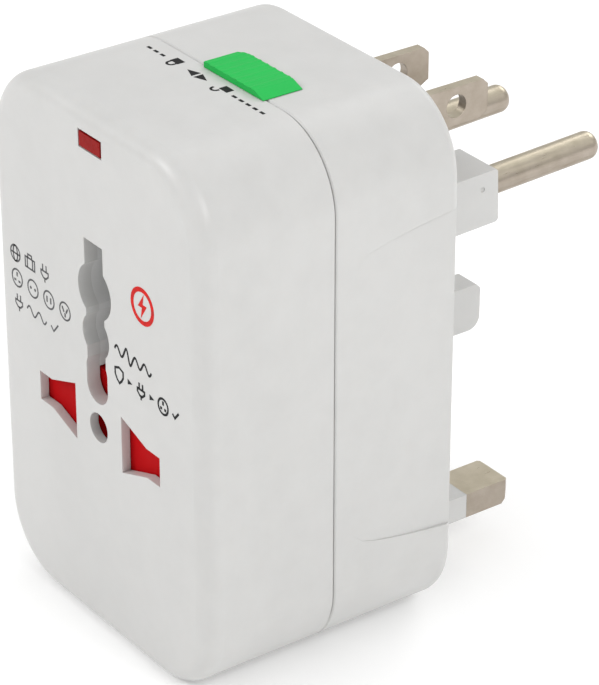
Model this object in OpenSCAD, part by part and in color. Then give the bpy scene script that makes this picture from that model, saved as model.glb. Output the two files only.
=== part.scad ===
// Universal travel adapter: a rear plug unit that carries three sets of wall pins,
// and a front socket unit that slides off it when the lock is open.
// +X is to the right facing the sockets, +Y points to the wall and +Z is up.
// The origin is the middle of the rear face, which meets the wall.

/* [Casing] */
// Width of both units
body_w = 48.5; // [48:0.5:50]
// Height of both units
body_h = 76.4; // [76:0.1:78]
// Depth of the front socket unit
front_d = 20.3; // [20.3:0.1:21]
// Depth of the rear plug unit
rear_d = 19.7; // [19.7:0.1:20.5]
// Corner radius of the casing seen from the front
corner_r = 11; // [10:0.5:11]
// Rounding around the socket face
face_edge_r = 2.5; // [1:0.25:2.5]
// Rounding around the wall face
wall_edge_r = 1.5; // [0.5:0.25:1.5]
// Thickness of the casing walls
wall = 2; // [2:0.1:2.1]
// Depth of the finger grip recess of each side at the wall face
grip_depth = 0.4; // [0.2:0.1:0.6]

/* [Front sockets] */
// Height of the live and neutral slots
slot_z = -6.6; // [-7:0.1:-6]
// Inner edge of each line slot, from the middle
slot_inner_x = 5.4; // [5.4:0.1:5.8]
// Outer edge of each line slot, from the middle
slot_outer_x = 14.2; // [14:0.1:14.4]
// Height of each line slot at its inner edge
slot_inner_h = 8.4; // [8:0.1:8.6]
// Height of each line slot at its outer edge
slot_outer_h = 4.3; // [4.2:0.1:4.6]
// Top of the earth slot
earth_slot_top = 20.3; // [20.2:0.1:20.9]
// Width of the earth slot
earth_slot_w = 4.3; // [4.2:0.1:4.6]
// Diameter of the small centre hole
centre_hole_d = 4.2; // [3.8:0.1:4.4]
// Travel of the safety shutter
shutter_travel = 11.6; // [11:0.1:11.6]
// Width of the indicator window
window_w = 5.3; // [4:0.1:6]
// Height of the indicator window
window_h = 2.5; // [2:0.1:3.2]
// Height of the middle of the indicator window
window_z = 34.1; // [33.8:0.1:34.2]

/* [UK plug] */
// Height of the live and neutral pins
uk_line_z = -29.6; // [-29.8:0.1:-29.4]
// Height of the earth pin above the line pins
uk_earth_rise = 22.6; // [22.2:0.1:22.8]
// Distance from the middle to each line pin
uk_line_x = 11.11; // [11:0.01:11.2]
// Width of a line pin
uk_line_w = 6.35; // [6.3:0.01:6.45]
// Height of a line pin
uk_line_h = 3.7; // [3.6:0.05:4.05]
// Reach of the line pins from the wall face
uk_line_len = 18.1; // [17.2:0.1:18.2]
// Reach of the insulating sleeves from the wall face
uk_sleeve_len = 10.4; // [9.5:0.1:10.5]
// Reach of the earth pin from the wall face
uk_earth_len = 21.9; // [21.5:0.1:23.2]
// Width of the earth pin
uk_earth_w = 3.97; // [3.9:0.01:4.05]
// Height of the earth pin
uk_earth_h = 6.95; // [6.6:0.05:7.5]

/* [EU plug] */
// Height of the folding EU pins
eu_z = 15.9; // [15.8:0.1:16]
// Distance from the middle to each EU pin
eu_x = 9.5; // [9.3:0.05:9.6]
// Diameter of an EU pin
eu_pin_d = 4; // [3.9:0.05:4.8]
// Length of an EU pin beyond its block
eu_pin_len = 19.7; // [19:0.1:20]
// Reach of the folding blocks from the wall face
eu_block_len = 15.1; // [14:0.1:15.2]
// Width of each folding block
eu_block_w = 7.76; // [7.4:0.02:7.8]
// Height of each folding block
eu_block_h = 7.8; // [7.4:0.1:7.8]
// Upward lean of the unfolded blocks, in degrees
eu_lean = 2; // [0:0.5:3]

/* [US and AU plug] */
// Height of the blades
us_z = 27.7; // [27.5:0.1:27.9]
// Distance from the middle to each blade
us_x = 6.35; // [6.35:0.01:6.5]
// Thickness of a blade
us_blade_t = 1.5; // [1.4:0.05:1.6]
// Height of a blade
us_blade_h = 5.5; // [5.4:0.05:6.4]
// Reach of the blades from the wall face
us_blade_len = 18; // [17.5:0.1:18.4]
// Distance from a blade's tip to its hole
us_hole_back = 5.3; // [4.5:0.1:6]
// Diameter of the hole in a blade
us_hole_d = 3.3; // [2.8:0.1:3.4]

/* [Lock] */
// Length of the lock slider
lock_len = 13; // [12.8:0.1:13.4]
// Width of the lock slider, across the seam
lock_w = 6.1; // [5.9:0.1:6.4]
// Travel of the lock slider
lock_travel = 4; // [3.6:0.1:4]
// Height of the lock slider above the casing
lock_rise = 0.9; // [0.8:0.1:1]
// Number of grip ridges on the lock slider
lock_ridges = 7; // [4:1:8]

/* [Hidden] */
$fn = 48;

casing_white = "#e6e6e3";
inner_white = "#d9d9d6";
lock_green = "#31bd5b";
shutter_red = "#c0181f";
nickel = "#bdb1a4";
brass = "#c9a54f";
steel = "#a9abae";
board_green = "#2f6b3c";

left = -1;
right = 1;
ends = [left, right];

// Planes along the depth, from the socket face to the wall face
face_y = -(front_d + rear_d);
seam_y = -rear_d;
seam_gap = 0.1;
front_open_y = seam_y - seam_gap;
face_inner_y = face_y + wall;
wall_face_t = 2.2;
cavity_y = -wall_face_t;
plate_t = 2;
back_plate_y = front_open_y - 0.2;
back_plate_inner_y = back_plate_y - plate_t;
chassis_inner_y = seam_y + plate_t;
boss_end_y = seam_y - 8.7;

// Fits between pieces
slide_gap = 0.2;
run_gap = 0.05;
seam_chamfer = 0.2;
cut = 1;

// Screws, at the same four places in both units
post_r = 2.2;
screw_r = 0.9;
screw_head_r = 1.8;
screw_head_h = 1;
screw_sink = screw_head_h + 0.1;
screw_len = 7;
post_places = [[-17.3, 30.2], [17.3, 30.2], [-19.3, -21], [19.3, -21]];

// Safety shutter, in a shallow pocket of the face, and the socket block behind it
shutter_t = 1.4;
shutter_y = face_y + 1.4;
shutter_half_w = 16;
shutter_bottom = -15.2;
shutter_top = -0.6;
shutter_gap = 0.3;
step_y = face_y + 2.2;
step_bottom = -3.6;
tab_half_w = 3.6;
tab_top = 0.6;
tab_t = 1.2;
pocket_y = shutter_y - 0.1;
block_y = face_inner_y + 1.7;
block_half_w = 17.5;
block_bottom = -13.5;
block_top = 22.5;
block_rear_top = 19.5;
rail_w = 0.75;
rail_x = shutter_half_w + 0.15;
well_half_h = 4.7;
well_inner_x = 5.3;
well_outer_x = 15.2;
well_back_t = 0.2;
earth_collar_half_w = 5;
earth_collar_bottom = tab_top + shutter_gap;
earth_hole = [4.8, 8.8];
earth_hole_z = slot_z + 22.2;
spring_x = 10;
spring_y = face_inner_y + 1.7;
spring_r = 1.3;
spring_wire = 0.5;
spring_seat_z = -body_h / 2 + wall;

// Surge protection board below the socket block
surge_board_y = face_y + 6.5;
surge_board_t = 1.2;

// Line contacts of the front sockets
contact_t = 0.5;
link_x = 19.8;
link_z = -6;
link_r = 1.2;
link_tube_r = 1.8;
link_len = 10.8;

// Carriage for the UK pins: a bar across the line pins and a stem up to the earth pin
uk_earth_z = uk_line_z + uk_earth_rise;
uk_carriage_t = 4;
uk_bar_half_w = 14.8;
uk_bar_half_h = 2.6;
uk_stem_half_w = 2.7;
uk_stem_top = uk_earth_z + uk_earth_h / 2 + 0.4;
uk_neck_w = 5.3;
uk_neck_h = 2.9;
uk_bore_gap = 0.25;

// Carriage for the US and AU blades, with a round turret for each blade
us_carriage_half_w = 12.4;
us_carriage_half_h = 5.2;
us_carriage_t = 5.6;
us_carriage_y = cavity_y - slide_gap;
turret_r = 4.4;
turret_hole_r = 4.6;
flange_r = 5.1;
flange_t = 1.15;
flange_seat = 1.4;
retainer_t = 0.8;
boss_wall = 0.9;

// Folding EU blocks in their channels
eu_pivot_y = -4.5;
eu_axle_r = 1.2;
eu_axle_half = 15.2;
eu_root_len = 7;
eu_root_r = 1.5;
channel_gap = 0.32;
channel_inner_x = eu_x - eu_block_w / 2 - channel_gap;
channel_outer_x = eu_x + eu_block_w / 2 + channel_gap;
channel_top = eu_z + eu_block_h / 2 + 0.7;
channel_bottom = -24.9;
channel_floor_y = eu_pivot_y - eu_block_h / 2 - 0.5;
cradle_wall = 1;

// Lock slider on top of both units, shown at its open end
lock_x = -3.3;
lock_y = seam_y - 0.7;
lock_cap_z = body_h / 2 + 0.05;
lock_slope = [2, 0.7];
lock_corner = [1.4, 0.8];
ridge_r = 0.9;
ridge_rise = 0.08;
tongue_low = body_h / 2 - 1.9;
tongue_high = body_h / 2 - 1;
tongue_head = [0, 5.4];
tongue_neck = [3.4, 5.4];
stem_x = [1.4, 5.2];
head_front_y = seam_y - 4.5;
head_back_y = seam_y - 2.4;
stem_front_y = seam_y + 2.3;
stem_back_y = seam_y + 4.5;

// ---- shared shapes ----

// A box from its low corner to its high corner
module span(low, high) {
    translate(low) cube(high - low);
}

// A flat outline in X and Z, drawn out along Y from y0 to y1
module along_y(y0, y1) {
    translate([0, y1, 0]) rotate([90, 0, 0]) linear_extrude(height = y1 - y0) children();
}

// A flat outline in Y and Z, drawn out along X, w wide and centred on x
module along_x(x, w) {
    translate([x - w / 2, 0, 0]) rotate([90, 0, 90]) linear_extrude(height = w) children();
}

// A round bar along Y
module rod_y(x, z, r, y0, y1) {
    translate([x, y1, z]) rotate([90, 0, 0]) cylinder(h = y1 - y0, r = r);
}

// The given shape, or its mirror image on the left
module on_side(side) {
    if (side == left) mirror([1, 0, 0]) children();
    else children();
}

// A rectangle with round corners, centred on the axis
module round_rect(w, h, r) {
    square([w - 2 * r, h], center = true);
    square([w, h - 2 * r], center = true);
    for (sx = ends) for (sz = ends)
        translate([sx * (w / 2 - r), sz * (h / 2 - r)]) circle(r = r);
}

// The casing's outline, drawn in by inset all round
module casing_outline(inset) {
    round_rect(body_w - 2 * inset, body_h - 2 * inset, corner_r - inset);
}

// Depth profile of one casing edge: chamfered at the seam (v = 0), rounded at the face
module edge_profile(reach, depth, edge_r) {
    difference() {
        union() {
            square([reach, depth - edge_r]);
            square([reach - edge_r, depth]);
            translate([reach - edge_r, depth - edge_r]) circle(r = edge_r);
        }
        polygon([[reach - seam_chamfer, 0], [reach, seam_chamfer], [reach + 1, seam_chamfer],
            [reach + 1, -1], [reach - seam_chamfer, -1]]);
    }
}

// A solid unit from its seam at y = 0 to its rounded face at y = depth
module casing_block(depth, edge_r) {
    core_w = body_w - 2 * corner_r;
    core_h = body_h - 2 * corner_r;
    along_x(0, core_w) for (flip = [0, 1])
        mirror([0, flip]) mirror([1, -1]) edge_profile(body_h / 2, depth, edge_r);
    for (side = ends) on_side(side) {
        translate([core_w / 2, 0, -core_h / 2]) linear_extrude(height = core_h)
            edge_profile(corner_r, depth, edge_r);
        for (flip = [0, 1]) mirror([0, 0, flip])
            translate([core_w / 2, 0, core_h / 2]) rotate([-90, 0, 0]) rotate([0, 0, -90])
                rotate_extrude(angle = 90) edge_profile(corner_r, depth, edge_r);
    }
}

// Four posts for the screws
module posts(y0, y1) {
    for (p = post_places) rod_y(p[0], p[1], post_r, y0, y1);
}

// Four holes of radius r at the screws
module screw_holes(r, y0, y1) {
    for (p = post_places) rod_y(p[0], p[1], r, y0, y1);
}

// Four screws with their heads at head_y
module screws(head_y, dir) {
    for (p = post_places) {
        tip_y = head_y + dir * (screw_head_h + screw_len);
        neck_y = head_y + dir * screw_head_h;
        rod_y(p[0], p[1], screw_head_r, min(head_y, neck_y), max(head_y, neck_y));
        rod_y(p[0], p[1], screw_r, min(neck_y, tip_y), max(neck_y, tip_y));
    }
}

// ---- front socket unit ----

// One line slot: wide inside for flat blades, narrow outside for the UK pin
module line_slot() {
    taper_x = slot_outer_x - 3;
    translate([0, slot_z]) polygon([
        [slot_inner_x, slot_inner_h / 2], [taper_x, slot_outer_h / 2],
        [slot_outer_x, slot_outer_h / 2], [slot_outer_x, -slot_outer_h / 2],
        [taper_x, -slot_outer_h / 2], [slot_inner_x, -slot_inner_h / 2]]);
}

// The earth slot: a straight top and three round lobes that shrink downward
module earth_slot() {
    lobe_z = [13.3, 6.9, 1.7, -0.5];
    lobe_r = [3.85, 3.1, 2.45, 2.45];
    translate([-earth_slot_w / 2, lobe_z[3]])
        square([earth_slot_w, earth_slot_top - lobe_z[3]]);
    for (i = [0:3]) translate([0, lobe_z[i]]) circle(r = lobe_r[i]);
    translate([-lobe_r[3], lobe_z[3]]) square([2 * lobe_r[3], lobe_z[2] - lobe_z[3]]);
}

// Everything cut through the socket face
module face_openings() {
    line_slot();
    mirror([1, 0]) line_slot();
    earth_slot();
    translate([0, slot_z]) circle(d = centre_hole_d);
    translate([-window_w / 2, window_z - window_h / 2]) square([window_w, window_h]);
}

// The pocket that takes the lock's tongue, cut in the top wall of the socket unit
module lock_pocket() {
    low = body_h / 2 - wall - 0.1;
    high = tongue_high + slide_gap;
    entry_x = tongue_neck[0] - lock_travel - 0.3;
    far_x = tongue_head[0] - lock_travel - 0.4;
    near_x = tongue_head[1] + 0.3;
    span([entry_x, head_back_y + 0.05, low], [near_x, front_open_y + cut, high]);
    span([far_x, head_front_y - 0.3, low], [near_x, head_back_y + 0.1, high]);
}

module front_cover() {
    color(casing_white) difference() {
        union() {
            difference() {
                translate([0, front_open_y, 0]) mirror([0, 1, 0])
                    casing_block(front_d - seam_gap, face_edge_r);
                along_y(face_inner_y, front_open_y + cut) casing_outline(wall);
            }
            posts(face_inner_y - cut / 2, back_plate_inner_y);
        }
        difference() {
            span([-rail_x, pocket_y, shutter_bottom - shutter_travel - shutter_gap],
                [rail_x, face_inner_y + cut, shutter_top + shutter_gap]);
            span([shutter_gap - tab_half_w, face_y, step_bottom + shutter_gap],
                [tab_half_w - shutter_gap, face_inner_y, tab_top]);
        }
        along_y(face_y - cut, face_inner_y + cut) face_openings();
        screw_holes(screw_r, back_plate_inner_y - screw_len, back_plate_inner_y + cut);
        lock_pocket();
    }
}

// Clearance around the bosses of the rear unit, where they enter the socket unit
module boss_outline(grow) {
    low = uk_line_z - uk_bar_half_h;
    high = uk_line_z + uk_bar_half_h;
    translate([-uk_bar_half_w - grow, low - grow])
        square([2 * (uk_bar_half_w + grow), high - low + 2 * grow]);
    translate([-uk_stem_half_w - grow, low])
        square([2 * (uk_stem_half_w + grow), uk_stem_top - low + grow]);
    translate([-us_carriage_half_w - grow, us_z - us_carriage_half_h - grow])
        square([2 * (us_carriage_half_w + grow), 2 * (us_carriage_half_h + grow)]);
}

// Closes the back of the socket unit around the two bosses and the link pins
module front_back_plate() {
    boss_gap = slide_gap + boss_wall + 0.3;
    color(inner_white) difference() {
        along_y(back_plate_inner_y, back_plate_y) casing_outline(wall + 0.05);
        along_y(back_plate_inner_y - cut, back_plate_y + cut) {
            boss_outline(boss_gap);
            translate([-us_carriage_half_w - boss_gap, us_z])
                square([2 * (us_carriage_half_w + boss_gap), body_h / 2 - us_z]);
            translate([0, earth_hole_z]) square(earth_hole, center = true);
        }
        for (side = ends)
            rod_y(side * link_x, link_z, link_r + 0.4, back_plate_inner_y - cut, back_plate_y + cut);
        screw_holes(screw_r, back_plate_inner_y - cut, back_plate_y);
        screw_holes(screw_head_r + 0.1, back_plate_y - screw_sink, back_plate_y + cut);
    }
}

module front_screws() {
    color(steel) screws(back_plate_y - 0.1, -1);
}

// Holds the contacts behind the slots and guides the shutter on two rails;
// a collar carries the earth channel forward to the face
module socket_block() {
    boss_gap = slide_gap + boss_wall + 0.3;
    well_low = slot_z - well_half_h;
    well_high = slot_z + well_half_h;
    boss_front_y = boss_end_y - 0.4;
    color(inner_white) difference() {
        union() {
            span([-block_half_w, block_y, block_bottom],
                [block_half_w, back_plate_inner_y, block_top]);
            span([-earth_collar_half_w, face_inner_y, earth_collar_bottom],
                [earth_collar_half_w, block_y + 1, block_top]);
            for (side = ends) on_side(side)
                span([rail_x, face_inner_y, shutter_bottom - shutter_travel],
                    [rail_x + rail_w, block_y + 1, shutter_top + 2]);
        }
        for (side = ends) on_side(side) {
            span([well_inner_x, block_y - cut, well_low],
                [well_outer_x, back_plate_inner_y - well_back_t, well_high]);
            span([well_outer_x - cut, back_plate_inner_y - contact_t - 2 * well_back_t, link_z - 2.4],
                [block_half_w + cut, back_plate_inner_y + cut, link_z + 2.4]);
        }
        along_y(face_inner_y - cut, back_plate_inner_y + cut) earth_slot();
        span([-block_half_w - cut, boss_front_y, block_rear_top],
            [block_half_w + cut, back_plate_inner_y + cut, block_top + cut]);
        rod_y(0, slot_z, centre_hole_d / 2, block_y - cut, boss_end_y);
        along_y(boss_front_y, back_plate_inner_y + cut) boss_outline(boss_gap);
    }
}

// The red plate that closes the line slots until a plug pushes it down; its middle is
// set back behind the foot of the earth slot and stiffened by a rib on the back
module shutter() {
    back_y = shutter_y + shutter_t;
    lug_x = spring_x - 1.5;
    lug_h = 1.3;
    color(shutter_red) difference() {
        union() {
            span([-shutter_half_w, shutter_y, shutter_bottom],
                [shutter_half_w, back_y, shutter_top]);
            span([-tab_half_w, step_y, shutter_bottom], [tab_half_w, step_y + tab_t, tab_top]);
            for (side = ends) on_side(side)
                span([lug_x, shutter_y, shutter_bottom], [lug_x + 3, spring_y + spring_r,
                    shutter_bottom + lug_h]);
        }
        span([-tab_half_w, shutter_y - cut, step_bottom], [tab_half_w, step_y, tab_top + cut]);
        rod_y(0, slot_z, centre_hole_d / 2 + 0.4, shutter_y - cut, back_y + cut);
    }
}

// The outer shape of one return spring under the shutter
module shutter_spring(side) {
    length = shutter_bottom - spring_seat_z;
    color(steel) translate([side * spring_x, spring_y, spring_seat_z]) difference() {
        cylinder(h = length, r = spring_r);
        translate([0, 0, -cut]) cylinder(h = length + 2 * cut, r = spring_r - spring_wire);
    }
}

module shutter_spring_left() { shutter_spring(left); }
module shutter_spring_right() { shutter_spring(right); }

// A brass clip that lines the well of one slot and reaches its link socket
module line_contact(side) {
    low = slot_z - well_half_h;
    high = slot_z + well_half_h;
    inner_x = well_inner_x + 0.3;
    outer_x = well_outer_x - 0.6;
    back_y = back_plate_inner_y - well_back_t;
    front_y = block_y + 2.5;
    rib_r = contact_t;
    color(brass) on_side(side) {
        difference() {
            span([inner_x, front_y, low], [outer_x, back_y, high]);
            span([inner_x - cut, front_y - cut, low + contact_t],
                [outer_x + cut, back_y - contact_t, high - contact_t]);
        }
        for (z = [low + contact_t, high - contact_t]) translate([inner_x, front_y + 2, z])
            rotate([0, 90, 0]) cylinder(h = outer_x - inner_x, r = rib_r);
        span([outer_x, back_y - contact_t, link_z - 1.8],
            [link_x - link_tube_r, back_y, link_z + 1.8]);
    }
}

module contact_neutral() { line_contact(left); }
module contact_live() { line_contact(right); }

// A brass tube that takes a link pin of the rear unit
module link_socket(side) {
    back_y = back_plate_inner_y;
    front_y = back_y - link_len;
    color(brass) difference() {
        rod_y(side * link_x, link_z, link_tube_r, front_y, back_y);
        rod_y(side * link_x, link_z, link_r + run_gap, front_y - cut, back_y + cut);
    }
}

module link_socket_neutral() { link_socket(left); }
module link_socket_live() { link_socket(right); }

// The red window of the power indicator: a pad in a sunken border, held by a flange inside
module indicator_lens() {
    fit = 0.05;
    proud = 0.05;
    border = 0.25;
    border_depth = 0.4;
    flange_grow = 0.9;
    flange_h = 0.6;
    half_w = window_w / 2;
    half_h = window_h / 2;
    color(shutter_red, 0.7) {
        span([border - half_w, face_y - proud, window_z + border - half_h],
            [half_w - border, face_inner_y, window_z + half_h - border]);
        span([fit - half_w, face_y + border_depth, window_z + fit - half_h],
            [half_w - fit, face_inner_y, window_z + half_h - fit]);
        span([-half_w - flange_grow, face_inner_y, window_z - half_h - flange_grow / 2],
            [half_w + flange_grow, face_inner_y + flange_h, window_z + half_h + flange_grow / 4]);
    }
}

// A small lamp with a domed end that faces the window
module indicator_lamp() {
    lamp_r = 1.5;
    board_y = boss_end_y - 3.2;
    dome_y = face_inner_y + 2.5;
    color("#d96a55") translate([0, board_y, window_z - 0.4]) rotate([90, 0, 0]) {
        rotate_extrude() intersection() {
            union() {
                square([lamp_r, board_y - dome_y]);
                translate([0, board_y - dome_y]) circle(r = lamp_r);
                square([lamp_r + 0.4, 0.8]);
            }
            square([4, 20]);
        }
    }
}

module indicator_board() {
    board_y = boss_end_y - 3.2;
    color(board_green) span([-9, board_y, block_top + 1.5], [9, board_y + 1.2, block_top + 12.8]);
}

module surge_board() {
    color(board_green) span([-13.5, surge_board_y, -34.6],
        [13.5, surge_board_y + surge_board_t, block_bottom - 1.5]);
}

// The disc that clamps voltage surges
module varistor() {
    color("#2f58a8") rod_y(-6.5, -23.5, 5, surge_board_y + surge_board_t,
        surge_board_y + surge_board_t + 3.2);
}

module thermal_fuse() {
    r = 1.5;
    color("#c9c3b5") translate([2.2, surge_board_y + surge_board_t + r, -19.5])
        rotate([0, 90, 0]) cylinder(h = 9, r = r);
}

module resistor() {
    r = 1.1;
    color("#c8a878") translate([3, surge_board_y + surge_board_t + r, -26])
        rotate([0, 90, 0]) cylinder(h = 6.5, r = r);
}

// ---- rear plug unit ----

// The channels for the folded EU blocks, seen from behind
module channel_outline(grow) {
    for (side = ends) on_side(side)
        translate([channel_inner_x - grow, channel_bottom - grow])
            square([channel_outer_x - channel_inner_x + 2 * grow,
                channel_top - channel_bottom + 2 * grow]);
}

// The finger grip of one side: a wedge that starts level with the casing near the
// seam, runs out through the wall face and widens towards it
module grip_recess(side) {
    front_y = -16.9;
    front_half_h = 19.4;
    widening = 4.2;
    steps = 10;
    side_x = body_w / 2;
    slope = grip_depth / -front_y;
    depth_at_end = slope * (cut - front_y);
    edge = [for (i = [0:steps]) let (t = i / steps)
        [front_y + t * (cut - front_y), front_half_h + widening * pow(t, 0.45)]];
    on_side(side) intersection() {
        along_x(side_x, 4 * grip_depth)
            polygon(concat(edge, [for (i = [steps:-1:0]) [edge[i][0], -edge[i][1]]]));
        translate([0, 0, -body_h / 2]) linear_extrude(height = body_h)
            polygon([[side_x, front_y], [side_x - depth_at_end, cut], [side_x + 1, cut],
                [side_x + 1, front_y]]);
    }
}

// The slot for the lock's stem through the top wall, and the groove for its tongue
module lock_track() {
    inner_z = body_h / 2 - wall - 0.1;
    span([stem_x[0] - lock_travel - slide_gap, stem_front_y - 0.3, inner_z],
        [stem_x[1] + slide_gap, stem_back_y + 0.3, body_h / 2 + cut]);
    span([tongue_neck[0] - lock_travel - 0.3, seam_y - cut, inner_z],
        [tongue_neck[1] + 0.3, stem_front_y, tongue_high + slide_gap]);
}

module rear_cover() {
    color(casing_white) difference() {
        union() {
            difference() {
                translate([0, seam_y, 0]) casing_block(rear_d, wall_edge_r);
                along_y(seam_y - cut, cavity_y) casing_outline(wall);
            }
            posts(chassis_inner_y, cavity_y + cut / 2);
        }
        along_y(cavity_y - cut / 2, cut) {
            channel_outline(0);
            for (side = ends) translate([side * uk_line_x, uk_line_z])
                square([uk_line_w + 2 * uk_bore_gap, uk_line_h + 2 * uk_bore_gap], center = true);
            translate([0, uk_earth_z])
                square([uk_earth_w + 2 * uk_bore_gap, uk_earth_h + 2 * uk_bore_gap], center = true);
        }
        for (side = ends) {
            rod_y(side * us_x, us_z, turret_hole_r, cavity_y - cut / 2, cut);
            grip_recess(side);
        }
        screw_holes(screw_r, chassis_inner_y - cut, chassis_inner_y + screw_len);
        lock_track();
    }
}

// Closes the rear unit at the seam; its two hollow bosses guide the pin carriages
module inner_chassis() {
    hollow_gap = slide_gap;
    boss_gap = slide_gap + boss_wall;
    color(inner_white) difference() {
        union() {
            along_y(seam_y, chassis_inner_y) casing_outline(wall + 0.05);
            along_y(boss_end_y, chassis_inner_y) boss_outline(boss_gap);
        }
        along_y(boss_end_y - cut, chassis_inner_y + cut) boss_outline(hollow_gap);
        along_y(seam_y - cut, chassis_inner_y + cut)
            translate([0, earth_hole_z]) square(earth_hole, center = true);
        for (side = ends) rod_y(side * link_x, link_z, link_r, seam_y - cut, chassis_inner_y + cut);
        screw_holes(screw_r, seam_y - cut, chassis_inner_y + cut);
        screw_holes(screw_head_r + 0.1, seam_y - cut, seam_y + screw_sink);
    }
}

module rear_screws() {
    color(steel) screws(seam_y + 0.1, 1);
}

// Two troughs behind the channels, with the bores of the EU axle
module eu_cradle() {
    color(inner_white) difference() {
        union() {
            along_y(channel_floor_y - cradle_wall, cavity_y) channel_outline(cradle_wall);
            span([-channel_inner_x, channel_floor_y - cradle_wall, 2],
                [channel_inner_x, channel_floor_y, channel_top - 2]);
        }
        along_y(channel_floor_y, cut) channel_outline(0);
        translate([-eu_axle_half - cut, eu_pivot_y, eu_z])
            rotate([0, 90, 0]) cylinder(h = 2 * (eu_axle_half + cut), r = eu_axle_r + run_gap);
    }
}

// A brass strip inside one side wall, with an arm towards the EU axle
module bus_bar(side) {
    bar_y = seam_y + 3.2;
    bar_w = 5;
    bar_t = 0.8;
    arm_z = eu_z - 1.5;
    color(brass) on_side(side) {
        span([link_x - bar_t / 2, bar_y, -12], [link_x + bar_t / 2, bar_y + bar_w, 27]);
        span([eu_axle_half + 0.5, bar_y + bar_w - bar_t, arm_z],
            [link_x - bar_t / 2, bar_y + bar_w, arm_z + 3]);
    }
}

module bus_bar_neutral() { bus_bar(left); }
module bus_bar_live() { bus_bar(right); }

module link_pin(side) {
    back_y = seam_y + 3.2;
    tip_y = back_plate_inner_y - link_len + 2.5;
    color(brass) rod_y(side * link_x, link_z, link_r, tip_y, back_y);
}

module link_pin_neutral() { link_pin(left); }
module link_pin_live() { link_pin(right); }

// ---- lock ----

// The cap seen from the front: low round ridges on a flat top that slopes down at the right
module lock_profile() {
    top = lock_rise - ridge_rise + body_h / 2;
    end_x = lock_x + lock_len;
    ridged_len = lock_len - lock_slope[0];
    pitch = ridged_len / lock_ridges;
    polygon([[lock_x, lock_cap_z], [end_x, lock_cap_z], [end_x, top - lock_slope[1]],
        [end_x - lock_slope[0], top], [lock_x, top]]);
    intersection() {
        translate([lock_x, lock_cap_z]) square([ridged_len, lock_rise]);
        for (i = [0:lock_ridges - 1])
            translate([lock_x + (i + 0.5) * pitch, top + ridge_rise - ridge_r]) circle(r = ridge_r);
    }
}

// The green lock: a ridged cap over the seam, a stem through the top wall and a hooked
// tongue that reaches into the socket unit
module lock_slider() {
    back_y = lock_y + lock_w;
    color(lock_green) {
        difference() {
            along_y(lock_y, back_y) lock_profile();
            translate([lock_x, back_y, body_h / 2]) linear_extrude(height = 2 * lock_rise)
                polygon([[0, -lock_corner[1]], [lock_corner[0], 0], [lock_corner[0], cut],
                    [-cut, cut], [-cut, -lock_corner[1]]]);
        }
        span([stem_x[0], stem_front_y, tongue_low - 0.3], [stem_x[1], stem_back_y, lock_cap_z]);
        span([tongue_neck[0], head_front_y, tongue_low], [tongue_neck[1], stem_back_y, tongue_high]);
        span([tongue_head[0], head_front_y, tongue_low], [tongue_head[1], head_back_y, tongue_high]);
    }
}

// The steel plate under the top wall that keeps the lock in its slot
module lock_clip() {
    top_z = tongue_low - 0.3;
    clip_t = 0.5;
    color(steel) span([stem_x[0] - 1.4, stem_front_y - 0.1, top_z - clip_t],
        [stem_x[1] + 1.6, stem_back_y + 1.2, top_z]);
}

// ---- folding EU plug ----

// Children are drawn straight and leaned up about the axle
module eu_pose() {
    translate([0, eu_pivot_y, eu_z]) rotate([eu_lean, 0, 0])
        translate([0, -eu_pivot_y, -eu_z]) children();
}

module eu_block(side) {
    nose = 0.35;
    dimple_y = eu_block_len - 2.6;
    dimple_z = eu_z + 1.5;
    dimple_r = 0.35;
    dimple_depth = 0.15;
    color(casing_white) eu_pose() difference() {
        on_side(side) along_x(eu_x, eu_block_w) {
            translate([eu_pivot_y, eu_z]) circle(d = eu_block_h);
            polygon([[eu_pivot_y, eu_z - eu_block_h / 2], [eu_block_len - nose, eu_z - eu_block_h / 2],
                [eu_block_len, eu_z - eu_block_h / 2 + nose], [eu_block_len, eu_z + eu_block_h / 2 - nose],
                [eu_block_len - nose, eu_z + eu_block_h / 2], [eu_pivot_y, eu_z + eu_block_h / 2]]);
        }
        rod_y(side * eu_x, eu_z, eu_root_r, eu_block_len - eu_root_len, eu_block_len + cut);
        translate([-eu_axle_half - cut, eu_pivot_y, eu_z])
            rotate([0, 90, 0]) cylinder(h = 2 * (eu_axle_half + cut), r = eu_axle_r);
        translate([side * (eu_x + eu_block_w / 2) - dimple_depth, dimple_y, dimple_z])
            rotate([0, 90, 0]) cylinder(h = 2 * dimple_depth, r = dimple_r);
    }
}

module eu_block_left() { eu_block(left); }
module eu_block_right() { eu_block(right); }

// A round pin with a rounded tip, on a thinner root that sits in the block
module eu_pin(side) {
    r = eu_pin_d / 2;
    tip_r = 1.4;
    length = eu_pin_len;
    color(nickel) eu_pose() translate([side * eu_x, eu_block_len, eu_z]) rotate([-90, 0, 0])
        rotate_extrude() {
            translate([0, -eu_root_len]) square([eu_root_r, eu_root_len + 1]);
            square([r, length - tip_r]);
            square([r - tip_r, length]);
            translate([r - tip_r, length - tip_r]) intersection() {
                circle(r = tip_r);
                square([tip_r, tip_r]);
            }
        }
}

module eu_pin_left() { eu_pin(left); }
module eu_pin_right() { eu_pin(right); }

module eu_axle() {
    color(steel) translate([-eu_axle_half, eu_pivot_y, eu_z])
        rotate([0, 90, 0]) cylinder(h = 2 * eu_axle_half, r = eu_axle_r);
}

// ---- sliding US and AU plug ----

module us_carriage() {
    back_y = us_carriage_y;
    front_y = back_y - us_carriage_t;
    color(inner_white) difference() {
        span([-us_carriage_half_w, front_y, us_z - us_carriage_half_h],
            [us_carriage_half_w, back_y, us_z + us_carriage_half_h]);
        for (side = ends) {
            rod_y(side * us_x, us_z, turret_r + run_gap, front_y - cut, back_y + cut);
            rod_y(side * us_x, us_z, flange_r + 0.1, front_y - cut, front_y + flange_seat);
        }
    }
}

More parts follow.
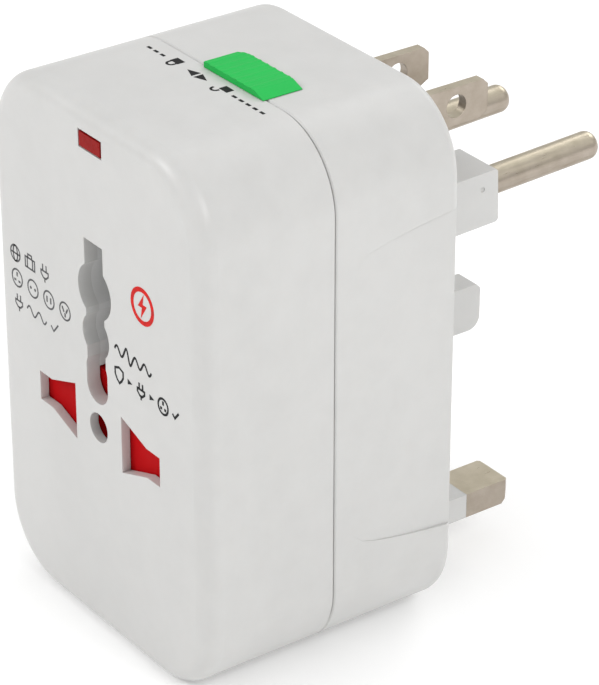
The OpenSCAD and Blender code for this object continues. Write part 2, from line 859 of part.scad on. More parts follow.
// Keeps both turrets in the carriage
module us_retainer() {
    back_y = us_carriage_y - us_carriage_t;
    color(steel) difference() {
        span([-us_carriage_half_w, back_y - retainer_t, us_z - us_carriage_half_h],
            [us_carriage_half_w, back_y, us_z + us_carriage_half_h]);
        for (side = ends)
            rod_y(side * us_x, us_z, 3.8, back_y - retainer_t - cut, back_y + cut);
    }
}

// The round base of one blade, flush with the wall face
module us_turret(side) {
    seat_y = us_carriage_y - us_carriage_t + flange_seat - run_gap;
    color(casing_white) difference() {
        union() {
            rod_y(side * us_x, us_z, turret_r, seat_y - flange_t, -0.1);
            rod_y(side * us_x, us_z, flange_r, seat_y - flange_t, seat_y);
        }
        span([side * us_x - us_blade_t / 2, seat_y - flange_t - cut, us_z - us_blade_h / 2],
            [side * us_x + us_blade_t / 2, cut, us_z + us_blade_h / 2]);
    }
}

module us_turret_left() { us_turret(left); }
module us_turret_right() { us_turret(right); }

// A flat blade with a hole and a tip that is chamfered above and below
module us_blade(side) {
    half_h = us_blade_h / 2;
    tip_y = us_blade_len;
    upper = [0.8, 0.8];
    lower = [1.4, 0.8];
    root_y = us_carriage_y - us_carriage_t - 1.4;
    color(nickel) difference() {
        along_x(side * us_x, us_blade_t) translate([0, us_z]) polygon([
            [root_y, -half_h], [tip_y - lower[0], -half_h], [tip_y, lower[1] - half_h],
            [tip_y, half_h - upper[1]], [tip_y - upper[0], half_h], [root_y, half_h]]);
        translate([side * us_x - us_blade_t, us_blade_len - us_hole_back, us_z])
            rotate([0, 90, 0]) cylinder(h = 2 * us_blade_t, d = us_hole_d);
    }
}

module us_blade_left() { us_blade(left); }
module us_blade_right() { us_blade(right); }

// ---- sliding UK plug ----

module uk_carriage() {
    back_y = cavity_y - slide_gap;
    front_y = back_y - uk_carriage_t;
    color(inner_white) difference() {
        along_y(front_y, back_y) {
            translate([-uk_bar_half_w, uk_line_z - uk_bar_half_h])
                square([2 * uk_bar_half_w, 2 * uk_bar_half_h]);
            translate([-uk_stem_half_w, uk_line_z])
                square([2 * uk_stem_half_w, uk_stem_top - uk_line_z]);
        }
        for (side = ends) along_y(front_y - cut, back_y + cut)
            translate([side * uk_line_x, uk_line_z]) square([uk_neck_w, uk_neck_h], center = true);
    }
}

// A line pin: a thin neck inside its sleeve and a full-size end with a sloping underside
module uk_pin(side) {
    root_y = cavity_y - slide_gap - uk_carriage_t - 1.5;
    half_w = uk_line_w / 2;
    half_h = uk_line_h / 2;
    side_tip = [0.8, 0.8];
    upper = [0.5, 0.4];
    lower = [1.4, 1.5];
    color(nickel) {
        along_y(root_y, uk_sleeve_len)
            translate([side * uk_line_x, uk_line_z]) square([uk_neck_w, uk_neck_h], center = true);
        intersection() {
            translate([side * uk_line_x, 0, uk_line_z - half_h]) linear_extrude(height = uk_line_h)
                polygon([[-half_w, uk_sleeve_len], [half_w, uk_sleeve_len],
                    [half_w, uk_line_len - side_tip[0]], [half_w - side_tip[1], uk_line_len],
                    [side_tip[1] - half_w, uk_line_len], [-half_w, uk_line_len - side_tip[0]]]);
            along_x(side * uk_line_x, uk_line_w) translate([0, uk_line_z])
                polygon([[uk_sleeve_len, -half_h], [uk_line_len - lower[0], -half_h],
                    [uk_line_len, lower[1] - half_h], [uk_line_len, half_h - upper[1]],
                    [uk_line_len - upper[0], half_h], [uk_sleeve_len, half_h]]);
        }
    }
}

module uk_pin_neutral() { uk_pin(left); }
module uk_pin_live() { uk_pin(right); }

// The white insulating sleeve around the root of a line pin
module uk_sleeve(side) {
    color(casing_white) difference() {
        along_y(cavity_y - slide_gap, uk_sleeve_len)
            translate([side * uk_line_x, uk_line_z]) square([uk_line_w, uk_line_h], center = true);
        along_y(cavity_y - cut, uk_sleeve_len + cut)
            translate([side * uk_line_x, uk_line_z]) square([uk_neck_w, uk_neck_h], center = true);
    }
}

module uk_sleeve_neutral() { uk_sleeve(left); }
module uk_sleeve_live() { uk_sleeve(right); }

// The plastic earth pin, which only opens shutters: chamfered above, round below
module uk_pin_earth() {
    half_h = uk_earth_h / 2;
    tip_r = 2;
    chamfer = 0.7;
    root_y = cavity_y - slide_gap;
    color(casing_white) along_x(0, uk_earth_w) translate([0, uk_earth_z]) {
        polygon([[root_y, -half_h], [uk_earth_len - tip_r, -half_h],
            [uk_earth_len, tip_r - half_h], [uk_earth_len, half_h - chamfer],
            [uk_earth_len - chamfer, half_h], [root_y, half_h]]);
        translate([uk_earth_len - tip_r, tip_r - half_h]) circle(r = tip_r);
    }
}

front_cover();
front_back_plate();
front_screws();
socket_block();
shutter();
shutter_spring_left();
shutter_spring_right();
contact_neutral();
contact_live();
link_socket_neutral();
link_socket_live();
indicator_lens();
indicator_lamp();
indicator_board();
surge_board();
varistor();
thermal_fuse();
resistor();
rear_cover();
inner_chassis();
rear_screws();
eu_cradle();
bus_bar_neutral();
bus_bar_live();
link_pin_neutral();
link_pin_live();
lock_slider();
lock_clip();
eu_block_left();
eu_block_right();
eu_pin_left();
eu_pin_right();
eu_axle();
us_carriage();
us_retainer();
us_turret_left();
us_turret_right();
us_blade_left();
us_blade_right();
uk_carriage();
uk_pin_neutral();
uk_pin_live();
uk_sleeve_neutral();
uk_sleeve_live();
uk_pin_earth();
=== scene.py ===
import math

import bmesh
import bpy
from mathutils import Matrix, Vector


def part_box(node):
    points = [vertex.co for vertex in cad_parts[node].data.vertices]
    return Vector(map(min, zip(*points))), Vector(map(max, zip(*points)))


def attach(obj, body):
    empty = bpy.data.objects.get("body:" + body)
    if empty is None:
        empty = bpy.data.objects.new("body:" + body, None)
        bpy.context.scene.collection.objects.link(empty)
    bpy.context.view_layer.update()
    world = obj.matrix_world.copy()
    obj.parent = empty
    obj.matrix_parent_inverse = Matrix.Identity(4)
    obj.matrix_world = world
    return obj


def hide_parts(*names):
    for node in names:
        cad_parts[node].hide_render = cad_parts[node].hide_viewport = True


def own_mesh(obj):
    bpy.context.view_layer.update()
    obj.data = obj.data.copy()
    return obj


# Universal travel adapter. Everything is in metres, in the CAD frame: +Y to the wall, +Z up.

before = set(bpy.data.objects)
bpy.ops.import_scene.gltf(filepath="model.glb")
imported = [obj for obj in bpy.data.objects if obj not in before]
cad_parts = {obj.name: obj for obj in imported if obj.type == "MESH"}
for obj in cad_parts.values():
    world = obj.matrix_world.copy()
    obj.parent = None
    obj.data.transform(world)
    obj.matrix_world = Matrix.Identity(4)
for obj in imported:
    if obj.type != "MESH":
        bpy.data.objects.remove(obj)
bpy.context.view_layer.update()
MM = 0.001

face_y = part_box("front_cover")[0].y
top_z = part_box("front_cover")[1].z
floor_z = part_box("front_cover")[0].z

WIRE_SIDES = 8
NEAR_AXIS = 0.02 * MM  # a radius small enough to close the end of a turned shape


# ---------------------------------------------------------------- camera

CAMERA_AZ = 53.93
CAMERA_EL = 28.6
CAMERA_DISTANCE = 440.26 * MM
CAMERA_SIDE = 5.89 * MM
CAMERA_RISE = -1.75 * MM
CAMERA_AIM = (0, -15 * MM, 0)
CAMERA_LENS = 198.91
SENSOR_WIDTH = 36


def add_camera():
    az, el = math.radians(CAMERA_AZ), math.radians(CAMERA_EL)
    back = Vector((math.sin(az) * math.cos(el), -math.cos(az) * math.cos(el), math.sin(el)))
    right = Vector((math.cos(az), math.sin(az), 0))
    up = back.cross(right)
    data = bpy.data.cameras.new("camera")
    data.sensor_fit = "HORIZONTAL"
    data.sensor_width = SENSOR_WIDTH
    data.lens = CAMERA_LENS
    data.clip_start, data.clip_end = 0.01, 20
    cam = bpy.data.objects.new("camera", data)
    bpy.context.scene.collection.objects.link(cam)
    aim = Vector(CAMERA_AIM) + right * CAMERA_SIDE + up * CAMERA_RISE
    cam.location = aim + back * CAMERA_DISTANCE
    cam.rotation_mode = "QUATERNION"
    cam.rotation_quaternion = back.to_track_quat("Z", "Y")
    bpy.context.scene.camera = cam


# ---------------------------------------------------------------- node helpers

def new_material(name):
    mat = bpy.data.materials.new(name)
    mat.use_nodes = True
    nt = mat.node_tree
    nt.nodes.clear()
    out = nt.nodes.new("ShaderNodeOutputMaterial")
    bsdf = nt.nodes.new("ShaderNodeBsdfPrincipled")
    nt.links.new(bsdf.outputs[0], out.inputs[0])
    return mat, nt, bsdf


def node(nt, kind, inputs=None, **settings):
    made = nt.nodes.new(kind)
    for key, value in settings.items():
        setattr(made, key, value)
    for key, value in (inputs or {}).items():
        socket = made.inputs[key]
        if isinstance(value, bpy.types.NodeSocket):
            nt.links.new(value, socket)
        else:
            socket.default_value = value
    return made


def object_coords(nt, stretch=(1, 1, 1)):
    coords = node(nt, "ShaderNodeTexCoord")
    return node(nt, "ShaderNodeMapping", {"Vector": coords.outputs["Object"],
                                          "Scale": stretch}).outputs[0]


def noise(nt, coords, scale, detail=3.0, rough=0.5):
    return node(nt, "ShaderNodeTexNoise", {"Vector": coords, "Scale": scale, "Detail": detail,
                                           "Roughness": rough}).outputs["Fac"]


def remap(nt, value, low, high, to_low, to_high):
    return node(nt, "ShaderNodeMapRange", {"Value": value, "From Min": low, "From Max": high,
                                           "To Min": to_low, "To Max": to_high}).outputs[0]


def blend_colors(nt, fac, a, b):
    mix = node(nt, "ShaderNodeMix", data_type="RGBA")
    for i, value in ((0, fac), (6, a), (7, b)):
        if isinstance(value, bpy.types.NodeSocket):
            nt.links.new(value, mix.inputs[i])
        else:
            mix.inputs[i].default_value = value
    return mix.outputs[2]


def bump(nt, height, distance, strength=1.0, normal=None):
    inputs = {"Height": height, "Distance": distance, "Strength": strength}
    if normal is not None:
        inputs["Normal"] = normal
    return node(nt, "ShaderNodeBump", inputs).outputs[0]


def rounded(nt, radius):
    return node(nt, "ShaderNodeBevel", {"Radius": radius}, samples=4).outputs[0]


def shade(color, factor):
    return (color[0] * factor, color[1] * factor, color[2] * factor, 1)


# ---------------------------------------------------------------- materials

def plastic(name, color, rough=0.36, grain=0.5, vary=0.04, scatter=0.0, gloss=0.45):
    """Moulded plastic: a fine grain, faint flow marks, uneven gloss and softened edges."""
    mat, nt, bsdf = new_material(name)
    coords = object_coords(nt)
    flow = noise(nt, object_coords(nt, (1, 1, 0.35)), 55, 2)
    cloud = noise(nt, coords, 260, 4, 0.6)
    tone = node(nt, "ShaderNodeMath", {0: flow, 1: cloud}, operation="ADD").outputs[0]
    fac = remap(nt, tone, 0.7, 1.3, 0, 1)
    nt.links.new(blend_colors(nt, fac, shade(color, 1 - vary), shade(color, 1 + vary / 2)),
                 bsdf.inputs["Base Color"])
    nt.links.new(remap(nt, cloud, 0.3, 0.7, rough - 0.05, rough + 0.06), bsdf.inputs["Roughness"])
    fine = noise(nt, coords, 5200, 2, 0.6)
    ripple = noise(nt, coords, 110, 2, 0.4)
    low = bump(nt, ripple, 0.02 * MM, 0.5, rounded(nt, 0.12 * MM))
    nt.links.new(bump(nt, fine, 0.006 * MM, grain, low), bsdf.inputs["Normal"])
    bsdf.inputs["Specular IOR Level"].default_value = gloss
    if scatter:
        bsdf.inputs["Subsurface Weight"].default_value = scatter
        bsdf.inputs["Subsurface Radius"].default_value = (0.8 * MM, 0.7 * MM, 0.6 * MM)
        bsdf.inputs["Subsurface Scale"].default_value = 1.0
    return mat


def metal(name, color, rough):
    """Drawn metal: streaks along the drawing, faint stains, and edges painted lighter, partly as wear
    and partly as a painted highlight.
    """
    mat, nt, bsdf = new_material(name)
    bsdf.inputs["Metallic"].default_value = 1.0
    lines = noise(nt, object_coords(nt, (1, 0.06, 1)), 4200, 3, 0.6)
    stain = noise(nt, object_coords(nt), 380, 4, 0.6)
    fac = remap(nt, stain, 0.3, 0.7, 0, 1)
    tone = blend_colors(nt, fac, shade(color, 0.88), shade(color, 1.072))
    fresh = node(nt, "ShaderNodeNewGeometry").outputs["Normal"]
    soft = rounded(nt, 0.1 * MM)
    along = node(nt, "ShaderNodeVectorMath", {0: fresh, 1: soft}, operation="DOT_PRODUCT")
    # Edges painted lighter: partly edge wear, partly a painted highlight.
    edge_wear_and_highlight = remap(nt, along.outputs["Value"], 0.86, 0.995, 1, 0)
    nt.links.new(blend_colors(nt, edge_wear_and_highlight, tone, shade(color, 1.25)), bsdf.inputs["Base Color"])
    nt.links.new(remap(nt, lines, 0.25, 0.75, rough - 0.07, rough + 0.1), bsdf.inputs["Roughness"])
    nt.links.new(bump(nt, lines, 0.004 * MM, 0.6, soft), bsdf.inputs["Normal"])
    return mat


def plated(name, side_color, painted_highlight_top, painted_shade_under):
    """Nickel plate over brass, pinkish on the sides; faces turned up get a yellower, lighter painted
    highlight and faces turned down a browner, darker painted shade.
    """
    mat, nt, bsdf = new_material(name)
    bsdf.inputs["Metallic"].default_value = 1.0
    lines = noise(nt, object_coords(nt, (1, 0.06, 1)), 4200, 3, 0.6)
    streaks = noise(nt, object_coords(nt, (1, 0.12, 1)), 1500, 3, 0.6)
    stain = noise(nt, object_coords(nt), 420, 4, 0.6)
    coords = node(nt, "ShaderNodeTexCoord")
    lean = node(nt, "ShaderNodeSeparateXYZ", {0: coords.outputs["Normal"]}).outputs[2]
    wander = remap(nt, streaks, 0.25, 0.75, -0.22, 0.22)
    painted_light_facing = node(nt, "ShaderNodeMath", {0: lean, 1: wander}, operation="ADD").outputs[0]
    # Painted light: up-facing faces take a painted highlight colour, down-facing faces a painted shade
    # colour.
    tone = blend_colors(nt, remap(nt, painted_light_facing, 0.2, 0.9, 0, 1), shade(side_color, 1), shade(painted_highlight_top, 1))
    tone = blend_colors(nt, remap(nt, painted_light_facing, -0.2, -0.9, 0, 1), tone, shade(painted_shade_under, 1))
    patchy = node(nt, "ShaderNodeMix", data_type="RGBA", blend_type="MULTIPLY")
    patchy.inputs[0].default_value = 1.0
    nt.links.new(tone, patchy.inputs[6])
    nt.links.new(blend_colors(nt, remap(nt, stain, 0.3, 0.7, 0, 1), (0.84, 0.83, 0.80, 1),
                              (1.0, 1.0, 1.0, 1)), patchy.inputs[7])
    soft = rounded(nt, 0.1 * MM)
    nt.links.new(patchy.outputs[2], bsdf.inputs["Base Color"])
    nt.links.new(remap(nt, lines, 0.25, 0.75, 0.26, 0.42), bsdf.inputs["Roughness"])
    nt.links.new(bump(nt, lines, 0.004 * MM, 0.6, soft), bsdf.inputs["Normal"])
    return mat


def coated(name, color, spots):
    """Dipped epoxy: a glossy lumpy skin with faint darker spots."""
    mat, nt, bsdf = new_material(name)
    coords = object_coords(nt)
    lumps = noise(nt, coords, 700, 3, 0.5)
    dots = noise(nt, coords, 2600, 2, 0.6)
    nt.links.new(blend_colors(nt, remap(nt, dots, 0.6, 0.72, 0, spots), shade(color, 1),
                              shade(color, 0.55)), bsdf.inputs["Base Color"])
    nt.links.new(remap(nt, lumps, 0.3, 0.7, 0.22, 0.36), bsdf.inputs["Roughness"])
    nt.links.new(bump(nt, lumps, 0.05 * MM, 0.6), bsdf.inputs["Normal"])
    return mat


def board(name, color):
    """Circuit board: solder resist over a faint pattern of tracks."""
    mat, nt, bsdf = new_material(name)
    coords = object_coords(nt)
    tracks = node(nt, "ShaderNodeTexBrick", {"Vector": coords, "Scale": 420.0, "Mortar Size": 0.03,
                                             "Color1": shade(color, 1.3), "Color2": shade(color, 1.2),
                                             "Mortar": shade(color, 0.8)})
    nt.links.new(tracks.outputs["Color"], bsdf.inputs["Base Color"])
    nt.links.new(remap(nt, noise(nt, coords, 900), 0.3, 0.7, 0.25, 0.4), bsdf.inputs["Roughness"])
    nt.links.new(bump(nt, tracks.outputs["Fac"], 0.03 * MM, 0.6), bsdf.inputs["Normal"])
    return mat


def ink(name, color):
    """Pad-printed ink: slightly uneven cover."""
    mat, nt, bsdf = new_material(name)
    patch = noise(nt, object_coords(nt), 1400, 3)
    nt.links.new(blend_colors(nt, remap(nt, patch, 0.35, 0.7, 0, 1), shade(color, 0.85),
                              shade(color, 1.35)), bsdf.inputs["Base Color"])
    nt.links.new(remap(nt, patch, 0.3, 0.7, 0.4, 0.55), bsdf.inputs["Roughness"])
    bsdf.inputs["Specular IOR Level"].default_value = 0.1
    return mat


MATERIALS = {
    "casing_white": plastic("casing_white", (0.568, 0.566, 0.556), scatter=0.1),
    "inner_white": plastic("inner_white", (0.635, 0.635, 0.63), rough=0.5, grain=0.8),
    # nickel_plate: the second colour is a painted highlight for the tops, the third a painted shade
    # for the undersides.
    "nickel_plate": plated("nickel_plate", (0.445, 0.388, 0.33), (0.58, 0.52, 0.41),
                           (0.27, 0.22, 0.15)),
    "bare_brass": metal("bare_brass", (0.72, 0.52, 0.22), 0.26),
    "spring_steel": metal("spring_steel", (0.56, 0.57, 0.59), 0.28),
    "shutter_red": plastic("shutter_red", (0.44, 0.003, 0.005), rough=0.55, vary=0.1, gloss=0.03),
    "lens_red": plastic("lens_red", (0.29, 0.005, 0.004), rough=0.3, grain=0.1, vary=0.2, gloss=0.05),
    "lamp_glass": plastic("lamp_glass", (0.66, 0.14, 0.09), rough=0.12, grain=0.1),
    "board_green": board("board_green", (0.020, 0.14, 0.045)),
    "varistor_blue": coated("varistor_blue", (0.026, 0.095, 0.36), 0.5),
    "component_tan": coated("component_tan", (0.54, 0.42, 0.25), 0.3),
    "lock_green": plastic("lock_green", (0.013, 0.46, 0.078), rough=0.55, vary=0.06, gloss=0.2),
}
INKS = {
    "black": ink("ink_black", (0.012, 0.012, 0.013)),
    "grey": ink("ink_grey", (0.085, 0.085, 0.088)),
    "red": ink("ink_red", (0.52, 0.006, 0.004)),
}
BANDS = [ink("band_brown", (0.10, 0.035, 0.015)), ink("band_black", (0.012, 0.012, 0.012)),
         ink("band_red", (0.45, 0.02, 0.015)), ink("band_gold", (0.45, 0.28, 0.06))]


def dress_frame():
    """Puts the looks in place of the plain materials of the CAD pieces."""
    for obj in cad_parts.values():
        for place in obj.material_slots:
            place.material = MATERIALS[place.material.name.split(".")[0]]


# ---------------------------------------------------------------- mesh helpers

def add_mesh(name, verts, faces, body, slot, material, smooth=True):
    data = bpy.data.meshes.new(name)
    data.from_pydata([tuple(v) for v in verts], [], faces)
    data.validate()
    data.materials.append(material)
    if smooth:
        for poly in data.polygons:
            poly.use_smooth = True
    obj = bpy.data.objects.new(name, data)
    bpy.context.scene.collection.objects.link(obj)
    if body:
        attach(obj, body)
    return obj


def soften(obj):
    """Smooth shading with sharp edges kept where faces meet at a steep angle."""
    steep = math.radians(40)
    made = bmesh.new()
    made.from_mesh(obj.data)
    for edge in made.edges:
        edge.smooth = len(edge.link_faces) == 2 and edge.calc_face_angle() < steep
    made.to_mesh(obj.data)
    made.free()


def skin(rings, sides):
    """Faces between rings of vertices, with a cap at each end."""
    faces = []
    for i in range(rings - 1):
        for k in range(sides):
            a, b = i * sides + k, i * sides + (k + 1) % sides
            faces.append((a, b, b + sides, a + sides))
    faces.append(tuple(range(sides - 1, -1, -1)))
    faces.append(tuple((rings - 1) * sides + k for k in range(sides)))
    return faces


def tube(path, radius):
    """Vertices and faces of a round wire along a path, closed at both ends."""
    verts = []
    normal = None
    count = len(path)
    for i, point in enumerate(path):
        ahead = path[min(i + 1, count - 1)] - path[max(i - 1, 0)]
        ahead.normalize()
        if normal is None:
            normal = ahead.orthogonal().normalized()
        normal = (normal - ahead * normal.dot(ahead)).normalized()
        side = ahead.cross(normal)
        for k in range(WIRE_SIDES):
            a = 2 * math.pi * k / WIRE_SIDES
            verts.append(point + (normal * math.cos(a) + side * math.sin(a)) * radius)
    return verts, skin(count, WIRE_SIDES)


def lathe(profile, start, axis, sides=32):
    """Vertices and faces of a turned shape. The profile holds (distance along axis, radius)."""
    axis = Vector(axis)
    first = axis.orthogonal().normalized()
    second = axis.cross(first)
    verts = []
    for along, radius in profile:
        for k in range(sides):
            a = 2 * math.pi * k / sides
            ray = first * math.cos(a) + second * math.sin(a)
            verts.append(Vector(start) + axis * along + ray * radius)
    return verts, skin(len(profile), sides)


def arc(centre, radius, start, end, steps):
    """Points on an arc, from one angle in degrees to another, both ends included."""
    angles = [math.radians(start + (end - start) * i / steps) for i in range(steps + 1)]
    return [(centre[0] + radius * math.cos(a), centre[1] + radius * math.sin(a)) for a in angles]


def bend(corners, radius):
    """A path through corner points with each corner rounded."""
    steps = 5
    path = [corners[0]]
    for before, corner, after in zip(corners, corners[1:], corners[2:]):
        enter = corner + (before - corner).normalized() * radius
        leave = corner + (after - corner).normalized() * radius
        for i in range(steps + 1):
            t = i / steps
            path.append(enter.lerp(corner, t).lerp(corner.lerp(leave, t), t))
    return path + [corners[-1]]


def join(parts):
    """One list of vertices and one of faces from several."""
    verts, faces = [], []
    for more_verts, more_faces in parts:
        base = len(verts)
        verts += more_verts
        faces += [tuple(base + i for i in face) for face in more_faces]
    return verts, faces


# ---------------------------------------------------------------- springs

def add_spring(node_name):
    """A wound return spring with closed end coils."""
    low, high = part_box(node_name)
    centre = (low + high) / 2
    wire = 0.25 * MM
    reach = (high.x - low.x) / 2 - wire
    turns, closed, steps_per_turn = 15, 1.4, 20
    bottom, top = low.z + wire, high.z - wire
    start, end = bottom + closed * 2 * wire, top - closed * 2 * wire
    points = []
    steps = turns * steps_per_turn
    for i in range(steps + 1):
        turn = turns * i / steps
        if turn < closed:
            z = bottom + turn * 2 * wire
        elif turn > turns - closed:
            z = top - (turns - turn) * 2 * wire
        else:
            z = start + (end - start) * ((turn - closed) / (turns - 2 * closed))
        a = 2 * math.pi * turn
        points.append(Vector((centre.x + reach * math.cos(a), centre.y + reach * math.sin(a), z)))
    obj = add_mesh(node_name + "_coil", *tube(points, wire), "socket_unit", "spring_steel",
                   MATERIALS["spring_steel"])
    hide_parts(node_name)
    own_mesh(obj)


# ---------------------------------------------------------------- screws

def carve(verts, faces, cut_verts, cut_faces):
    """The first solid with the second one cut away."""
    body = add_mesh("carve_body", verts, faces, None, None, MATERIALS["spring_steel"], False)
    cutter = add_mesh("carve_cutter", cut_verts, cut_faces, None, None,
                      MATERIALS["spring_steel"], False)
    step = body.modifiers.new("cut", "BOOLEAN")
    step.object = cutter
    step.solver = "EXACT"
    bpy.context.view_layer.update()
    done = body.evaluated_get(bpy.context.evaluated_depsgraph_get()).to_mesh()
    result = [v.co.copy() for v in done.vertices], [tuple(p.vertices) for p in done.polygons]
    for obj in (body, cutter):
        bpy.data.objects.remove(obj)
    return result


def cross_cutter(reach, half_w, depth):
    """A tapered cross standing on the plane y = 0 and pointing along +Y."""
    top = [(reach, half_w), (half_w, half_w), (half_w, reach), (-half_w, reach), (-half_w, half_w),
           (-reach, half_w), (-reach, -half_w), (-half_w, -half_w), (-half_w, -reach),
           (half_w, -reach), (half_w, -half_w), (reach, -half_w)]
    count = len(top)
    lift, taper = 0.3 * MM, 0.45
    verts = [Vector((x, -lift, z)) for x, z in top]
    verts += [Vector((x * taper, depth, z * taper)) for x, z in top]
    faces = [(i, (i + 1) % count, (i + 1) % count + count, i + count) for i in range(count)]
    return verts, faces + [tuple(range(count - 1, -1, -1)), tuple(range(count, 2 * count))]


def screw_shape(head_r, head_h, shank_r, length):
    """A cross-head screw with its head at y = 0 and its point at y = length."""
    rim, sunk, chamfer = 0.25 * MM, 0.1 * MM, 0.08 * MM
    head = [(sunk, NEAR_AXIS), (sunk, head_r * 0.45), (0.12 * MM, head_r - rim)]
    for a in (75, 50, 25, 0):
        around = math.radians(a)
        head.append((rim + sunk - math.sin(around) * rim, head_r - rim + math.cos(around) * rim))
    head += [(head_h - chamfer, head_r), (head_h, head_r - chamfer), (head_h, NEAR_AXIS)]
    top = carve(*lathe(head, (0, 0, 0), (0, 1, 0), 40), *cross_cutter(
        head_r * 0.62, head_r * 0.14, head_h * 0.7))
    pitch, sides, point = 0.75 * MM, 20, 1.4 * MM
    start = head_h * 0.8
    rows = int((length - start) / (pitch / 7))
    verts = []
    for i in range(rows + 1):
        y = start + (length - start) * i / rows
        taper = min(1, (length - y) / point)
        for k in range(sides):
            phase = ((y / pitch) - k / sides) % 1
            crest = max(0, 1 - abs(phase - 0.5) * 5)
            r = shank_r * (0.74 + 0.26 * crest) * (0.12 + 0.88 * taper)
            a = 2 * math.pi * k / sides
            verts.append(Vector((r * math.cos(a), y, r * math.sin(a))))
    return join([top, (verts, skin(rows + 1, sides))])


def add_screws(node_name, body, heads_at_back):
    """Four screws in place of the plain ones, each turned differently."""
    low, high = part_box(node_name)
    spots = {}
    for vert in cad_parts[node_name].data.vertices:
        spots.setdefault((vert.co.x > 0, vert.co.z > 0), []).append(vert.co)
    shape_verts, shape_faces = screw_shape(1.8 * MM, 1.0 * MM, 0.9 * MM, high.y - low.y)
    parts = []
    for i, key in enumerate(sorted(spots)):
        points = spots[key]
        x = (min(p.x for p in points) + max(p.x for p in points)) / 2
        z = (min(p.z for p in points) + max(p.z for p in points)) / 2
        turn = Matrix.Rotation(math.radians(17 + 31 * i), 3, "Y")
        if heads_at_back:
            flip, base_y = Matrix.Rotation(math.pi, 3, "X"), high.y
        else:
            flip, base_y = Matrix.Identity(3), low.y
        parts.append(([flip @ turn @ v + Vector((x, base_y, z)) for v in shape_verts], shape_faces))
    obj = add_mesh(node_name + "_cross_head", *join(parts), body, "spring_steel",
                   MATERIALS["spring_steel"])
    soften(obj)
    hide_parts(node_name)


# ---------------------------------------------------------------- surge parts

LEAD_R = 0.3 * MM


def add_varistor(board_back):
    """The varistor, a blue disc that stands on the board. Returns its two leads."""
    low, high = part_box("varistor")
    mid = (low + high) / 2
    r, t = (high.x - low.x) / 2, high.y - low.y
    bulge = t * 0.42
    rim = [(t / 2 - bulge * math.cos(math.radians(a)), r - bulge + bulge * math.sin(math.radians(a)))
           for a in range(15, 166, 15)]
    outline = [(t / 2 - bulge * 1.02, NEAR_AXIS), (t / 2 - bulge * 1.05, r * 0.5)] + rim
    outline += [(t / 2 + bulge * 1.05, r * 0.5), (t / 2 + bulge * 1.02, NEAR_AXIS)]
    obj = add_mesh("varistor_disc", *lathe(outline, (mid.x, low.y, mid.z), (0, 1, 0), 48),
                   "socket_unit", "varistor_blue", MATERIALS["varistor_blue"])
    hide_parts("varistor")
    bend_z = high.z + 1.2 * MM
    leads = []
    for side in (-1, 1):
        x = mid.x + side * r * 0.5
        corners = [(x, mid.y, mid.z + r * 0.75), (x, mid.y, bend_z), (x, board_back, bend_z)]
        leads.append(tube(bend([Vector(c) for c in corners], 0.7 * MM), LEAD_R))
    return leads


def add_axial_part(name, shoulder, neck, waist, board_back):
    """The fuse or the resistor, a turned body lying on the board. Returns its two leads."""
    low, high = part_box(name)
    mid = (low + high) / 2
    r, length = (high.z - low.z) / 2, high.x - low.x
    outline = [(0, NEAR_AXIS), (0, r * neck)]
    outline += [(shoulder * i / 5, r * (neck + (1 - neck) * math.sin(math.pi * i / 10)))
                for i in range(1, 6)]
    mirrored = [(length - along, radius) for along, radius in reversed(outline)]
    if waist:
        outline += [(length * 0.32, r * waist), (length * 0.68, r * waist)]
    obj = add_mesh(name + "_body", *lathe(outline + mirrored, (low.x, mid.y, mid.z), (1, 0, 0)),
                   "socket_unit", "component_tan", MATERIALS["component_tan"])
    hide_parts(name)
    leads = []
    for x, side in ((low.x, -1), (high.x, 1)):
        out = x + side * 1.3 * MM
        corners = [(x - side * 0.2 * MM, mid.y, mid.z), (out, mid.y, mid.z), (out, board_back, mid.z)]
        leads.append(tube(bend([Vector(c) for c in corners], 0.6 * MM), LEAD_R))
    if waist:
        add_bands(low, mid, r, length)
    return leads


def add_surge_parts():
    """The disc, the fuse and the resistor on the surge board, with their leads."""
    board_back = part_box("surge_board")[1].y
    leads = add_varistor(board_back)
    leads += add_axial_part("thermal_fuse", 0.9 * MM, 0.45, None, board_back)
    leads += add_axial_part("resistor", 1.3 * MM, 0.8, 0.86, board_back)
    fillet = [(0, 0.85 * MM), (0.12 * MM, 0.8 * MM), (0.35 * MM, 0.5 * MM), (0.7 * MM, 0.32 * MM)]
    for verts, _ in list(leads):
        a, b = verts[-1], verts[-1 - WIRE_SIDES // 2]
        foot = ((a.x + b.x) / 2, board_back, (a.z + b.z) / 2)
        leads.append(lathe(fillet, foot, (0, 1, 0), 16))
    add_mesh("surge_leads", *join(leads), "socket_unit", "spring_steel", MATERIALS["spring_steel"])


def add_bands(low, mid, r, length):
    """Four colour bands on the waist and the shoulders of the resistor."""
    on_shoulder, on_waist = 1.015, 0.885
    places = ((0.2, on_shoulder), (0.40, on_waist), (0.54, on_waist), (0.80, on_shoulder))
    half = 0.28 * MM
    for i, ((place, fit), material) in enumerate(zip(places, BANDS)):
        band_r = r * fit
        hoop = [(-half, band_r * 0.9), (-half, band_r), (half, band_r), (half, band_r * 0.9)]
        add_mesh("resistor_band_%d" % (i + 1),
                 *lathe(hoop, (low.x + length * place, mid.y, mid.z), (1, 0, 0)),
                 "socket_unit", "component_tan", material, False)


# ---------------------------------------------------------------- printed marks
#
# Plain pictograms stand where the casing is printed. Shapes are drawn in millimetres
# on the face they lie on, and made as a thin raised film of ink.

